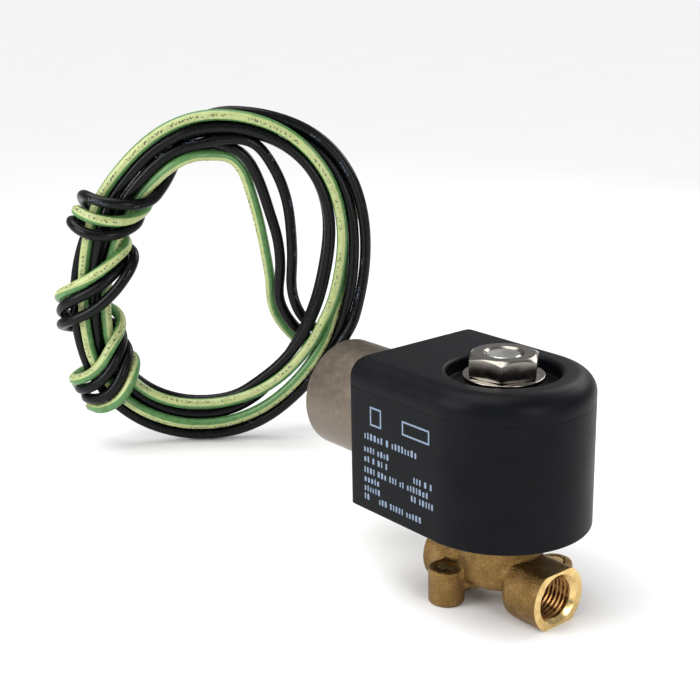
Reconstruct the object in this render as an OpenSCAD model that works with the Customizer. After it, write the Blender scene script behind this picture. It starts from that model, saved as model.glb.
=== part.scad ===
// Two-way direct-acting solenoid valve with an encapsulated coil and lead wires.
// Origin: centre of the valve axis on the base plane. +X leaves the first port,
// +Z runs up the valve axis to the top nut. All sizes are in millimetres.

/* [Valve body] */
// Distance between the two port faces
port_to_port = 42.8; // [40:0.2:50]
// Radius of the round port bosses
port_boss_r = 9.1; // [8.6:0.1:9.6]
// Height of the port axis above the base, which is half the distance across the port flats
port_axis_z = 7.7; // [7.4:0.1:8]
// Radius of the port bore at the crests of its thread
port_bore_r = 5.8; // [5.6:0.05:6]
// Depth of the port bore
port_bore_depth = 11.4; // [10:0.2:12]
// Radius of the central barrel
barrel_r = 11.2; // [10.8:0.1:12]
// Height of the top face of the barrel
barrel_top_z = 21.6; // [21.4:0.1:21.8]
// Distance between the two mounting bosses along the ports
boss_spacing_x = 17; // [16:0.1:18]
// Distance between the two mounting bosses across the ports
boss_spacing_y = 24.72; // [24:0.02:26]
// Radius of a mounting boss
boss_r = 4.85; // [4.6:0.05:5.2]
// Height of a mounting boss
boss_h = 10; // [9:0.5:11]
// Radius of the tapped hole in a mounting boss
boss_hole_r = 2.1; // [1.9:0.05:2.3]

/* [Solenoid case] */
// Half of the width of the case, which is also the radius of its round front
case_half_w = 24.5; // [24.5:0.5:28]
// Distance from the valve axis to the flat back of the case
case_back = 34.5; // [34.5:0.5:38]
// Height of the underside of the case
case_bottom_z = 24.2; // [24.2:0.1:24.4]
// Height of the joint between the lower case and its cover
case_joint_z = 59.3; // [59.2:0.1:59.5]
// Height of the top face of the case
case_top_z = 66.6; // [66.4:0.1:66.8]
// Wall thickness of the case
case_wall = 2.2; // [1.8:0.1:2.2]
// Radius of the rounded top edge
case_edge_r = 5.4; // [3:0.1:6]
// Radius of the round recess for the top nut
recess_r = 15.3; // [14:0.1:15.5]

/* [Conduit hub] */
// Outer radius of the conduit hub
hub_r = 16.4; // [15:0.1:16.4]
// Length of the conduit hub outside the case
hub_length = 31.1; // [28:0.1:31.1]
// Height of the hub's axis
hub_axis_z = 44; // [43.8:0.1:44.2]
// Radius of the hub's bore at the crests of its thread
hub_bore_r = 9.2; // [8.8:0.1:9.6]

/* [Plunger] */
// Travel of the plunger from closed to open
plunger_stroke = 1.2; // [0.8:0.1:1.5]
// Radius of the plunger
plunger_r = 6.52; // [6.5:0.01:6.54]
// Number of turns in the return spring
spring_turns = 7; // [5:1:9]

/* [Top nut] */
// Width of the nut across its flats
nut_flats = 17.6; // [17:0.1:18]
// Height of the nut
nut_h = 5.8; // [5:0.1:6]
// Radius of the stud that the nut turns on
stud_r = 4.7; // [4.5:0.05:4.8]

/* [Leads] */
// Diameter of one insulated lead wire
lead_d = 3.9; // [3:0.1:3.9]
// Half of the width of the coil of leads
coil_half_w = 55.5; // [54:0.5:56]
// Half of the height of the coil of leads
coil_half_h = 60.5; // [60:0.5:61]

/* [Hidden] */
$fn = 96;
eps = 0.01;

// Valve body
port_face_x = port_to_port / 2;
port_boss_back_x = 8.6;
port_mouth_r = 7;
port_chamfer = 1.2;
barrel_bottom_z = 6.6;
rib_r = 4;
rib_overlap = 0.5;
rib_end_x = port_boss_back_x + rib_overlap;
web_w = 6;
web_bottom_z = 4.4;
web_top_z = 8.6;
boss_angle = atan2(boss_spacing_y, boss_spacing_x);
boss_reach = norm([boss_spacing_x, boss_spacing_y]) / 2;
chamber_r = 7.3;
chamber_floor_z = 12;
socket_r = 8.5;
socket_floor_z = 15.9;
seat_z = 13.4;
seat_r = 3;
orifice_r = 1.6;
passage_r = 1.5;
outlet_r = 2;
outlet_end_x = 2;
passage_angle = 50;
passage_length = 7.4;
passage_start = [0.8, 0.9];
port_bore_end_x = port_face_x - port_bore_depth;

// Guide tube, bonnet and cores
tube_r = 7.1;
tube_bore_r = 6.6;
tube_bottom_z = 14.6;
tube_top_z = 61.8;
bonnet_bottom_z = 17.4;
bonnet_flange_r = 10.6;
bonnet_top_z = 22.9;
ring_section_r = 0.7;
core_r = 6.58;
core_bottom_z = 44.2;
core_shoulder_z = 61.8;
stud_top_z = 71;
spring_seat_r = 3.1;
spring_top_z = 46;
spring_bottom_z = 32;
spring_r = 2.4;
spring_wire_r = 0.4;
shading_inner_r = 4.6;
shading_outer_r = 5.5;
shading_h = 1;
plunger_bottom_z = 14.1;
plunger_top_z = core_bottom_z - plunger_stroke;
seal_r = 3.7;
seal_h = 2.2;
flat_x = 5.72;
flat_mid_z = 28;
flat_h = 40;

// Coil inside the case
coil_bore_r = 7.18;
tube_hole_r = 7.3;
yoke_t = 2;
yoke_bottom_z = case_bottom_z + case_wall;
yoke_plate_r = 18.8;
yoke_back_x = 21.6;
yoke_half_w = 14;
yoke_room = 0.6;
coil_bottom_z = yoke_bottom_z + yoke_t;
coil_top_z = 57.6;
bobbin_flange_t = 1.4;
bobbin_barrel_r = 9;
sleeve_r = 8;
sleeve_h = 9;
winding_r = 17.8;
cavity_r = 19.6;
tongue_gap = 0.1;
tongue_t = 1.2;
cover_plate_z = 60.2;
recess_floor_z = 62.4;
recess_lip = 1.2;
washer_hole_r = 5.2;
top_gasket_r = 10;
lock_washer_r = 9.6;
flat_washer_r = 11;
gasket_t = 1;
lock_washer_t = 0.9;
flat_washer_t = 1.2;
lock_washer_z = recess_floor_z + gasket_t;
flat_washer_z = lock_washer_z + lock_washer_t;
nut_z = flat_washer_z + flat_washer_t;
nut_gap = 0.06;
nut_bore_r = stud_r + nut_gap;
nut_mouth_r = 5.5;
nut_mouth_h = 0.8;
nut_corner_slope = 4;
nut_angle = 10;

// Conduit hub and what it holds
hub_mouth_x = -(case_back + hub_length);
hub_throat_r = 6.5;
hub_chamfer = 1.5;
hub_bore_depth = 19.6;
hub_spigot_r = 10.5;
hub_inner_x = -30.2;
lock_ring_r = 13.5;
seal_face_x = hub_mouth_x + hub_bore_depth;
seal_back_x = -38;
lead_r = lead_d / 2;
stub_r = 1.6;
stub_places = [[0, 46.5], [-2.5, 42.5], [2.5, 42.5]];
stub_end_x = -29.5;
splice_end_x = -23.2;
splice_radii = [2.3, 2];
ground_z = 34;
ground_hole_r = 1.5;
lug_t = 0.8;
lug_r = 3.2;
lug_arm_w = 2.5;
lug_arm_h = 10.1;
screw_head_r = 2.8;
screw_head_h = 1.8;

// Routes of the three leads from the hub's seal to the coil of leads
long_gap = 12.2;
black_1_route = [
    [-46, 0, 46.5], [-55, 0, 46.5], [-66, 0, 46], [-77, 4, 45], [-88, 15, 42],
    [-99, 29, 38], [-109, 41, 35], [-118, 51.5, 33.5], [-128, 53.5, 33.5],
    [-137.6, 49.4, 36], [-144.2, 42.6, 43], [-145.6, 38.9, 54], [-144, 38.5, 66],
    [-143, 37.5, 77], [-142.5, 36, 87], [-143, 33, 96.5], [-144.5, 28.5, 105],
    [-147.5, 23, 111.5]
];
black_2_route = [
    [-46, -2.5, 42.5], [-55, -2.5, 42.5], [-66, -2, 42], [-77, 2, 40.5],
    [-88, 14, 37.5], [-99, 29, 33.5], [-109, 41, 30.5], [-118, 52, 29],
    [-128.5, 54.5, 29], [-139.8, 49.2, 31.5], [-147.7, 41.6, 39], [-150.6, 36.6, 50],
    [-148.3, 36.2, 62], [-147, 34.5, 73.5], [-147, 31.5, 83], [-147.5, 28.5, 93],
    [-148.5, 25, 101.5], [-151, 20, 107.5]
];
green_route = [
    [-46, 2.5, 42.5], [-55, 2.5, 42.5], [-66, 2.5, 39.5], [-77, 4, 36], [-88, 14, 33],
    [-99, 29, 29], [-109, 41.5, 26], [-118, 52.5, 24.5], [-129, 55, 24.5],
    [-141, 51, 27], [-150.6, 43.4, 34], [-155.6, 37.6, 45], [-153.6, 35.1, 58],
    [-151.6, 31.6, 71], [-151, 28.6, 83], [-151.9, 25.8, 94.1], [-152.7, 23.9, 100.2],
    [-154.4, 19.4, 104.8], [-157.4, 13, 107]
];

// Coil of leads: an upright ring whose plane holds the direction coil_dir
coil_centre = [-155, 12, coil_half_h];
coil_dir = [0.63, 0.777, 0];
coil_axis = [0.777, -0.63, 0];
coil_steps = 48;
coil_sides = 12;
coil_thin = [9, 7.5];
coil_thick = [11, 10];
tied_angle = 188;
tied_half = 30;
tied_fade = 20;
end_r = 0.75;
end_length = 4;
end_angles = [206, 218, 230];

// Points of a smooth curve through a route, with an extra point in each long gap
function route_point(p, i) = p[min(max(i, 0), len(p) - 1)];
function route_mid(p, i) =
    (9 * (p[i] + p[i + 1]) - route_point(p, i - 1) - route_point(p, i + 2)) / 16;
function is_long(p, i) = norm(p[i + 1] - p[i]) > long_gap;
function smooth_route(p) = [
    for (i = [0 : len(p) - 2])
        for (q = is_long(p, i) ? [p[i], route_mid(p, i)] : [p[i]])
            q,
    p[len(p) - 1]
];
function unit(v) = v / norm(v);
function tangent(p, i) =
    unit(p[min(i + 1, len(p) - 1)] - p[max(i - 1, 0)]);
function square_to(v, t) = unit(v - t * (v * t));
// Side directions of the rings, each carried over from the last without twist
function side_dirs(p) = [
    for (
        i = 0, s = square_to([0, 0, 1], tangent(p, 0));
        i < len(p);
        i = i + 1, s = i < len(p) ? square_to(s, tangent(p, i)) : s
    ) s
];

// Closed tube of radius r along the points p
module tube_along(p, r, sides) {
    dirs = side_dirs(p);
    points = [
        for (i = [0 : len(p) - 1])
            for (k = [0 : sides - 1])
                let (a = 360 * k / sides)
                    p[i] + r * (cos(a) * dirs[i] + sin(a) * cross(tangent(p, i), dirs[i]))
    ];
    last = (len(p) - 1) * sides;
    faces = concat(
        [[for (k = [sides - 1 : -1 : 0]) k]],
        [
            for (i = [0 : len(p) - 2])
                for (k = [0 : sides - 1])
                    for (half = [0, 1])
                        let (n = (k + 1) % sides, a = i * sides, b = a + sides)
                            half == 0 ? [a + k, a + n, b + n] : [a + k, b + n, b + k]
        ],
        [[for (k = [0 : sides - 1]) last + k]]
    );
    // The faces are listed to be seen from inside, so each is turned over
    polyhedron(points, [for (f = faces) [for (j = [len(f) - 1 : -1 : 0]) f[j]]]);
}

// Cylinder along X from x0 to x1
module x_cylinder(x0, x1, r, y = 0, z = 0) {
    translate([x0, y, z]) rotate([0, 90, 0]) cylinder(h = x1 - x0, r = r);
}

// Ring about the valve axis
module z_ring(z0, z1, r_out, r_in) {
    difference() {
        translate([0, 0, z0]) cylinder(h = z1 - z0, r = r_out);
        translate([0, 0, z0 - 1]) cylinder(h = z1 - z0 + 2, r = r_in);
    }
}

// Upright D-shaped block: round in front, flat at the back
module d_block(z0, z1, half_w, back) {
    translate([0, 0, z0]) linear_extrude(z1 - z0) {
        circle(r = half_w);
        translate([-back, -half_w]) square([back, 2 * half_w]);
    }
}

// Outline of a half of the cover, with its round top edge
module cover_half_outline() {
    h = case_top_z - case_joint_z;
    square([case_half_w - case_edge_r, h]);
    square([case_half_w, h - case_edge_r]);
    intersection() {
        translate([case_half_w - case_edge_r, h - case_edge_r]) circle(r = case_edge_r);
        square([case_half_w, h]);
    }
}

module port_hole(side) {
    mouth = side * port_face_x;
    inner = side * port_bore_end_x;
    x_cylinder(min(mouth + side, inner), max(mouth + side, inner), port_bore_r, z = port_axis_z);
    translate([mouth + side * eps, 0, port_axis_z]) rotate([0, -side * 90, 0])
        cylinder(h = port_chamfer, r1 = port_mouth_r, r2 = port_bore_r);
}

module valve_body() {
    color("goldenrod") difference() {
        union() {
            for (turn = [0, 180]) rotate([0, 0, turn]) intersection() {
                x_cylinder(port_boss_back_x, port_face_x, port_boss_r, z = port_axis_z);
                translate([0, -port_boss_r, 0])
                    cube([port_face_x, 2 * port_boss_r, 2 * port_axis_z]);
            }
            translate([0, 0, barrel_bottom_z])
                cylinder(h = barrel_top_z - barrel_bottom_z, r = barrel_r);
            // Rib under the barrel that carries the passages between the ports
            x_cylinder(-rib_end_x, rib_end_x, rib_r, z = port_axis_z);
            rotate([0, 0, boss_angle]) translate([-boss_reach, -web_w / 2, web_bottom_z])
                cube([2 * boss_reach, web_w, web_top_z - web_bottom_z]);
            for (side = [-1, 1])
                translate([side * boss_spacing_x / 2, side * boss_spacing_y / 2, 0])
                    cylinder(h = boss_h, r = boss_r);
        }
        for (side = [-1, 1]) {
            port_hole(side);
            translate([side * boss_spacing_x / 2, side * boss_spacing_y / 2, -1])
                cylinder(h = boss_h + 2, r = boss_hole_r);
        }
        // Chamber around the seat, and the tapped socket for the bonnet above it
        difference() {
            translate([0, 0, chamber_floor_z]) cylinder(h = barrel_top_z, r = chamber_r);
            translate([0, 0, chamber_floor_z - 1])
                cylinder(h = seat_z - chamber_floor_z + 1, r = seat_r);
        }
        translate([0, 0, socket_floor_z]) cylinder(h = barrel_top_z, r = socket_r);
        // Inlet passage to the chamber, and outlet passage from under the seat
        translate([port_bore_end_x + passage_start[0], 0, port_axis_z + passage_start[1]])
            rotate([0, -passage_angle, 0]) cylinder(h = passage_length, r = passage_r);
        x_cylinder(-port_bore_end_x - 1, outlet_end_x, outlet_r, z = port_axis_z);
        translate([0, 0, port_axis_z]) cylinder(h = barrel_top_z, r = orifice_r);
    }
}

module bonnet() {
    color("silver") difference() {
        union() {
            translate([0, 0, bonnet_bottom_z])
                cylinder(h = barrel_top_z - bonnet_bottom_z, r = socket_r);
            translate([0, 0, barrel_top_z])
                cylinder(h = bonnet_top_z - barrel_top_z, r = bonnet_flange_r, $fn = 6);
        }
        translate([0, 0, bonnet_bottom_z - 1])
            cylinder(h = bonnet_top_z - bonnet_bottom_z + 2, r = tube_r);
    }
}

module bonnet_o_ring() {
    color("dimgray") translate([0, 0, socket_floor_z + ring_section_r + eps]) rotate_extrude()
        translate([(socket_r + tube_r) / 2, 0]) circle(r = ring_section_r - 2 * eps, $fn = 24);
}

module guide_tube() {
    color("lightgray") z_ring(tube_bottom_z, tube_top_z, tube_r, tube_bore_r);
}

module fixed_core() {
    color("silver") difference() {
        union() {
            translate([0, 0, core_bottom_z])
                cylinder(h = core_shoulder_z - core_bottom_z, r = core_r);
            translate([0, 0, core_shoulder_z])
                cylinder(h = stud_top_z - core_shoulder_z, r = stud_r);
        }
        translate([0, 0, core_bottom_z - 1])
            cylinder(h = spring_top_z - core_bottom_z + 1, r = spring_seat_r);
        z_ring(core_bottom_z - 1, core_bottom_z + shading_h, shading_outer_r, shading_inner_r);
    }
}

module shading_ring() {
    color("peru") z_ring(core_bottom_z, core_bottom_z + shading_h, shading_outer_r, shading_inner_r);
}

module plunger() {
    color("gainsboro") difference() {
        translate([0, 0, plunger_bottom_z])
            cylinder(h = plunger_top_z - plunger_bottom_z, r = plunger_r);
        translate([0, 0, seat_z]) cylinder(h = seal_h, r = seal_r);
        translate([0, 0, spring_bottom_z])
            cylinder(h = plunger_top_z - spring_bottom_z + 1, r = spring_seat_r);
        // Flats that let the fluid pass
        for (side = [-1, 1])
            translate([side * (flat_x + plunger_r), 0, flat_mid_z])
                cube([2 * plunger_r, 2 * plunger_r + 1, flat_h], center = true);
    }
}

module seal_disc() {
    color("saddlebrown") translate([0, 0, seat_z]) cylinder(h = seal_h, r = seal_r);
}

module return_spring() {
    steps = 14;
    first = spring_bottom_z + spring_wire_r;
    rise = (spring_top_z - spring_bottom_z - 2 * spring_wire_r) / (spring_turns * steps);
    color("silver") tube_along(
        [
            for (i = [0 : spring_turns * steps])
                [spring_r * cos(360 * i / steps), spring_r * sin(360 * i / steps), first + rise * i]
        ],
        spring_wire_r, 6
    );
}

module base_gasket() {
    color("dimgray") z_ring(bonnet_top_z, case_bottom_z, bonnet_flange_r, tube_hole_r);
}

module lower_case() {
    color("#1b1c1f") difference() {
        d_block(case_bottom_z, case_joint_z, case_half_w, case_back);
        d_block(
            case_bottom_z + case_wall, case_joint_z + 1,
            case_half_w - case_wall, case_back - case_wall
        );
        translate([0, 0, case_bottom_z - 1]) cylinder(h = case_wall + 2, r = tube_hole_r);
        x_cylinder(-case_back - 1, -case_back + case_wall + 1, hub_spigot_r, z = hub_axis_z);
    }
}

module case_cover() {
    tongue_half_w = case_half_w - case_wall - tongue_gap;
    tongue_back = case_back - case_wall - tongue_gap;
    color("#1b1c1f") difference() {
        union() {
            translate([0, 0, case_joint_z]) {
                rotate([0, 0, -90]) rotate_extrude(angle = 180) cover_half_outline();
                translate([-case_back, 0, 0]) rotate([90, 0, 90]) linear_extrude(case_back) {
                    cover_half_outline();
                    mirror([1, 0]) cover_half_outline();
                }
            }
            d_block(coil_top_z + tongue_gap, case_joint_z + eps, tongue_half_w, tongue_back);
        }
        d_block(coil_top_z, cover_plate_z, tongue_half_w - tongue_t, tongue_back - tongue_t);
        translate([0, 0, recess_floor_z])
            cylinder(h = case_top_z - recess_floor_z + 1, r = recess_r);
        translate([0, 0, case_top_z - recess_lip])
            cylinder(h = recess_lip + eps, r1 = recess_r, r2 = recess_r + recess_lip);
        translate([0, 0, coil_top_z])
            cylinder(h = recess_floor_z - coil_top_z + 1, r = tube_hole_r);
    }
}

module potting() {
    gap = 0.05;
    height = coil_top_z - yoke_bottom_z;
    color("darkslategray") difference() {
        d_block(
            yoke_bottom_z, coil_top_z,
            case_half_w - case_wall - gap, case_back - case_wall - gap
        );
        translate([0, 0, yoke_bottom_z - 1]) cylinder(h = height + 2, r = cavity_r);
        translate([-case_back, -yoke_half_w - yoke_room, yoke_bottom_z - 1])
            cube([case_back, 2 * (yoke_half_w + yoke_room), height + 2]);
    }
}

module bobbin() {
    color("ivory") difference() {
        union() {
            translate([0, 0, coil_bottom_z])
                cylinder(h = coil_top_z - coil_bottom_z, r = bobbin_barrel_r);
            for (z = [coil_bottom_z, coil_top_z - bobbin_flange_t])
                translate([0, 0, z]) cylinder(h = bobbin_flange_t, r = yoke_plate_r);
        }
        translate([0, 0, coil_bottom_z - 1])
            cylinder(h = coil_top_z - coil_bottom_z + 2, r = sleeve_r);
    }
}

module winding() {
    color("darkorange") z_ring(
        coil_bottom_z + bobbin_flange_t, coil_top_z - bobbin_flange_t,
        winding_r, bobbin_barrel_r
    );
}

// Plate of the yoke: a disc with a square tail towards the back
module yoke_plate(z0) {
    translate([0, 0, z0]) linear_extrude(yoke_t) difference() {
        union() {
            circle(r = yoke_plate_r);
            translate([-yoke_back_x, -yoke_half_w]) square([yoke_back_x, 2 * yoke_half_w]);
        }
        circle(r = coil_bore_r);
    }
}

module yoke_frame() {
    color("slategray") difference() {
        union() {
            yoke_plate(yoke_bottom_z);
            translate([-yoke_back_x, -yoke_half_w, yoke_bottom_z])
                cube([yoke_t, 2 * yoke_half_w, coil_top_z - yoke_bottom_z]);
        }
        x_cylinder(-yoke_back_x - 1, -yoke_back_x + yoke_t + 1, ground_hole_r, z = ground_z);
    }
}

module yoke_top_plate() {
    color("slategray") yoke_plate(coil_top_z);
}

module lower_flux_sleeve() {
    color("gray") z_ring(coil_bottom_z, coil_bottom_z + sleeve_h, sleeve_r, coil_bore_r);
}

module upper_flux_sleeve() {
    color("gray") z_ring(coil_top_z - sleeve_h, coil_top_z, sleeve_r, coil_bore_r);
}

module top_gasket() {
    color("dimgray") z_ring(recess_floor_z, lock_washer_z, top_gasket_r, washer_hole_r);
}

module lock_washer() {
    color("silver") z_ring(lock_washer_z, flat_washer_z, lock_washer_r, washer_hole_r);
}

module flat_washer() {
    color("silver") z_ring(flat_washer_z, nut_z, flat_washer_r, washer_hole_r);
}

module hex_nut() {
    corner_r = nut_flats / 2 / cos(30);
    color("silver") difference() {
        intersection() {
            translate([0, 0, nut_z]) rotate([0, 0, nut_angle])
                cylinder(h = nut_h, r = corner_r, $fn = 6);
            // Chamfer at the top corners
            translate([0, 0, nut_z]) cylinder(
                h = nut_h, r1 = corner_r + nut_corner_slope, r2 = nut_flats / 2
            );
        }
        translate([0, 0, nut_z - 1]) cylinder(h = nut_h + 2, r = nut_bore_r);
        translate([0, 0, nut_z + nut_h - nut_mouth_h + eps])
            cylinder(h = nut_mouth_h, r1 = nut_bore_r, r2 = nut_mouth_r);
    }
}

module conduit_hub() {
    color("rosybrown") difference() {
        union() {
            x_cylinder(hub_mouth_x, -case_back, hub_r, z = hub_axis_z);
            x_cylinder(-case_back, hub_inner_x, hub_spigot_r, z = hub_axis_z);
        }
        x_cylinder(hub_mouth_x - 1, seal_face_x, hub_bore_r, z = hub_axis_z);
        x_cylinder(seal_face_x - 1, hub_inner_x + 1, hub_throat_r, z = hub_axis_z);
        translate([hub_mouth_x - eps, 0, hub_axis_z]) rotate([0, 90, 0])
            cylinder(h = hub_chamfer, r1 = hub_bore_r + hub_chamfer, r2 = hub_bore_r);
    }
}

module hub_lock_ring() {
    color("silver") difference() {
        x_cylinder(-case_back + case_wall, hub_inner_x, lock_ring_r, z = hub_axis_z);
        x_cylinder(-case_back, hub_inner_x + 1, hub_spigot_r, z = hub_axis_z);
    }
}

module lead_seal() {
    color("dimgray") difference() {
        x_cylinder(seal_face_x, seal_back_x, hub_throat_r, z = hub_axis_z);
        for (p = stub_places)
            x_cylinder(seal_face_x - 1, seal_back_x + 1, stub_r, p[0], p[1]);
    }
}

module lead_stubs() {
    colours = ["#202022", "#202022", "green"];
    for (i = [0 : 2])
        color(colours[i])
            x_cylinder(seal_face_x, stub_end_x, stub_r, stub_places[i][0], stub_places[i][1]);
}

module splice_sleeves() {
    color("gold") for (i = [0, 1])
        x_cylinder(
            stub_end_x, splice_end_x, splice_radii[i], stub_places[i][0], stub_places[i][1]
        );
}

module ground_lug() {
    color("silver") difference() {
        union() {
            x_cylinder(-yoke_back_x - lug_t, -yoke_back_x, lug_r, z = ground_z);
            translate([-yoke_back_x - lug_t, 0, ground_z]) cube([lug_t, lug_arm_w, lug_arm_h]);
        }
        x_cylinder(-yoke_back_x - 2, -yoke_back_x + 1, ground_hole_r, z = ground_z);
    }
}

module ground_screw() {
    color("gainsboro") {
        x_cylinder(
            -yoke_back_x - lug_t - screw_head_h, -yoke_back_x - lug_t, screw_head_r, z = ground_z
        );
        x_cylinder(-yoke_back_x - lug_t, -yoke_back_x + yoke_t, ground_hole_r, z = ground_z);
    }
}

module lead_tube(route) {
    tube_along(smooth_route(route), lead_r, 8);
}

module black_lead_1() {
    color("#202022") lead_tube(black_1_route);
}

module black_lead_2() {
    color("#202022") lead_tube(black_2_route);
}

module green_lead() {
    color("green") lead_tube(green_route);
}

// How much of the tied, thicker part a place on the coil has, from 0 to 1
function tied(a) =
    let (d = abs(a - tied_angle) - tied_half)
        d < 0 ? 1 : d > tied_fade ? 0 : (tied_fade - d) / tied_fade;
function coil_size(a) = coil_thin + (coil_thick - coil_thin) * tied(a);
// Point of the coil's surface at angle a round the coil and angle b round its section
function coil_point(a, b) =
    let (
        s = coil_size(a),
        inward = coil_thin[0] - s[0] * cos(b),
        w = (coil_half_w - inward) * cos(a),
        h = (coil_half_h - inward) * sin(a)
    )
    coil_centre + w * coil_dir + h * [0, 0, 1] + s[1] * sin(b) * coil_axis;

module lead_coil() {
    points = [
        for (i = [0 : coil_steps - 1])
            for (k = [0 : coil_sides - 1])
                coil_point(360 * i / coil_steps, 360 * k / coil_sides)
    ];
    faces = [
        for (i = [0 : coil_steps - 1])
            for (k = [0 : coil_sides - 1])
                for (half = [0, 1])
                    let (
                        n = (k + 1) % coil_sides,
                        a = i * coil_sides,
                        b = ((i + 1) % coil_steps) * coil_sides
                    )
                    half == 0 ? [a + k, b + n, a + n] : [a + k, b + k, b + n]
    ];
    color("darkolivegreen") polyhedron(points, faces);
}

// Bare copper at the end of each lead, standing out of the tied part of the coil
module lead_ends() {
    color("peru") for (a = end_angles)
        translate(coil_point(a, 90)) rotate([0, 90, atan2(coil_axis[1], coil_axis[0])])
            translate([0, 0, -end_length / 2]) cylinder(h = end_length, r = end_r);
}

valve_body();
bonnet();
bonnet_o_ring();
guide_tube();
fixed_core();
shading_ring();
plunger();
seal_disc();
return_spring();
base_gasket();
lower_case();
case_cover();
potting();
bobbin();
winding();
yoke_frame();
yoke_top_plate();
lower_flux_sleeve();
upper_flux_sleeve();
top_gasket();
lock_washer();
flat_washer();
hex_nut();
conduit_hub();
hub_lock_ring();
lead_seal();
lead_stubs();
splice_sleeves();
ground_lug();
ground_screw();
black_lead_1();
black_lead_2();
green_lead();
lead_coil();
lead_ends();
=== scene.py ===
"""Looks of a solenoid valve with its three leads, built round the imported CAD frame."""

import random
from math import cos, floor, pi, radians, sin, sqrt, tan

import bmesh
import bpy
import numpy as np
from mathutils import Matrix, Vector


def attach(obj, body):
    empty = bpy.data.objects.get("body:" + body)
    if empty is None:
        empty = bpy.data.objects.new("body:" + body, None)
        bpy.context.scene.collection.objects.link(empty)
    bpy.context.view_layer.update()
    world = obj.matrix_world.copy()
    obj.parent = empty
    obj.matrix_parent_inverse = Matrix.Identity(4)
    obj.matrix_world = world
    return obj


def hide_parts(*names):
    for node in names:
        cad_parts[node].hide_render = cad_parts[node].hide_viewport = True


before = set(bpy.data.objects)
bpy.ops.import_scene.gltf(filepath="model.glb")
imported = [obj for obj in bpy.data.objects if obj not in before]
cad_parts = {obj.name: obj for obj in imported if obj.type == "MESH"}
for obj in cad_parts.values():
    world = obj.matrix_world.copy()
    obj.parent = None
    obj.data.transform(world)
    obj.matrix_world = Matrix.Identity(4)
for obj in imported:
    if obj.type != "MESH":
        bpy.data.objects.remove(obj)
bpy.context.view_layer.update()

MM = 0.001
random.seed(7)


def put(name, data):
    """A new object in the scene, which shows the data."""
    made = bpy.data.objects.new(name, data)
    bpy.context.scene.collection.objects.link(made)
    return made


# ---- camera

CAMERA_PLACE = (230.68, -239.19, 173.14)
CAMERA_YAW = -39.04
CAMERA_PITCH = 16.95
CAMERA_ROLL = -1.01
CAMERA_LENS = 67.62


def make_camera():
    """The camera stands off the first port, looks down a little, and is rolled a little."""
    data = bpy.data.cameras.new("camera")
    data.lens = CAMERA_LENS
    data.sensor_width = 36
    camera = put("camera", data)
    yaw, pitch, roll = radians(CAMERA_YAW), radians(CAMERA_PITCH), radians(CAMERA_ROLL)
    ahead = Vector((-cos(yaw) * cos(pitch), -sin(yaw) * cos(pitch), -sin(pitch)))
    right = ahead.cross(Vector((0, 0, 1))).normalized()
    up = right.cross(ahead)
    rolled_right = right * cos(roll) + up * sin(roll)
    rolled_up = up * cos(roll) - right * sin(roll)
    turn = Matrix((rolled_right, rolled_up, -ahead)).transposed().to_4x4()
    camera.matrix_world = Matrix.Translation(Vector(CAMERA_PLACE) * MM) @ turn
    bpy.context.scene.camera = camera


# ---- mesh helpers, in millimetres


def add_piece(name, points, faces, material, body, smooth_angle=30):
    """A mesh piece from points in millimetres, which rides on a CAD body."""
    mesh = bpy.data.meshes.new(name)
    mesh.from_pydata([tuple(c * MM for c in p) for p in points], [], faces)
    mesh.validate()
    piece = put(name, mesh)
    face_outward(piece)
    smooth(piece, smooth_angle)
    if material:
        mesh.materials.append(material)
    if body:
        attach(piece, body)
    return piece


def face_outward(piece):
    """Turns every face's normal to the outside."""
    work = bmesh.new()
    work.from_mesh(piece.data)
    bmesh.ops.recalc_face_normals(work, faces=work.faces)
    work.to_mesh(piece.data)
    work.free()


def smooth(piece, angle):
    """Smooth shading, with edges sharper than the angle kept sharp."""
    mesh = piece.data
    mesh.polygons.foreach_set("use_smooth", [True] * len(mesh.polygons))
    mesh.set_sharp_from_angle(angle=radians(angle))


def apply_modifiers(piece):
    """Turns what a piece's modifiers make into its own mesh."""
    graph = bpy.context.evaluated_depsgraph_get()
    made = bpy.data.meshes.new_from_object(piece.evaluated_get(graph))
    old = piece.data
    piece.modifiers.clear()
    piece.data = made
    bpy.data.meshes.remove(old)


def boolean(piece, tool, operation):
    """Cuts, joins or intersects a piece with a tool, and removes the tool."""
    step = piece.modifiers.new("shape", "BOOLEAN")
    step.operation = operation
    step.object = tool
    step.solver = "EXACT"
    apply_modifiers(piece)
    bpy.data.objects.remove(tool)


def grid_faces(rows, columns, closed_rows=True):
    """Quads of a grid whose columns close up, and whose rows close up too if asked."""
    faces = []
    for i in range(rows if closed_rows else rows - 1):
        for k in range(columns):
            a = i * columns
            b = (i + 1) % rows * columns
            n = (k + 1) % columns
            faces.append((a + k, a + n, b + n, b + k))
    return faces


def rounded(outline, radius, steps=4):
    """A closed outline with each corner replaced by a short arc."""
    made = []
    count = len(outline)
    for i, corner in enumerate(outline):
        here = Vector(corner)
        before = Vector(outline[i - 1]) - here
        after = Vector(outline[(i + 1) % count]) - here
        size = min(radius, before.length * 0.49, after.length * 0.49)
        start = here + before.normalized() * size
        end = here + after.normalized() * size
        for k in range(steps + 1):
            t = k / steps
            point = start * (1 - t) ** 2 + here * (2 * t * (1 - t)) + end * t ** 2
            made.append((point.x, point.y))
    return made


def turned_points(rows, sides, axis, centre, pitch=1.0, turned=0.0):
    """Rings of points round an axis, from rows of (radius, height, depth of screw thread)."""
    points = []
    for row in rows:
        for k in range(sides):
            angle = 2 * pi * (k + turned) / sides
            radius = row[0]
            if len(row) > 2:
                radius += row[2] * thread_wave(row[1] / pitch + k / sides)
            flat = (radius * cos(angle), radius * sin(angle), row[1])
            if axis == "X":
                flat = (flat[2], flat[0], flat[1])
            points.append(tuple(a + b for a, b in zip(flat, centre)))
    return points


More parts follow.
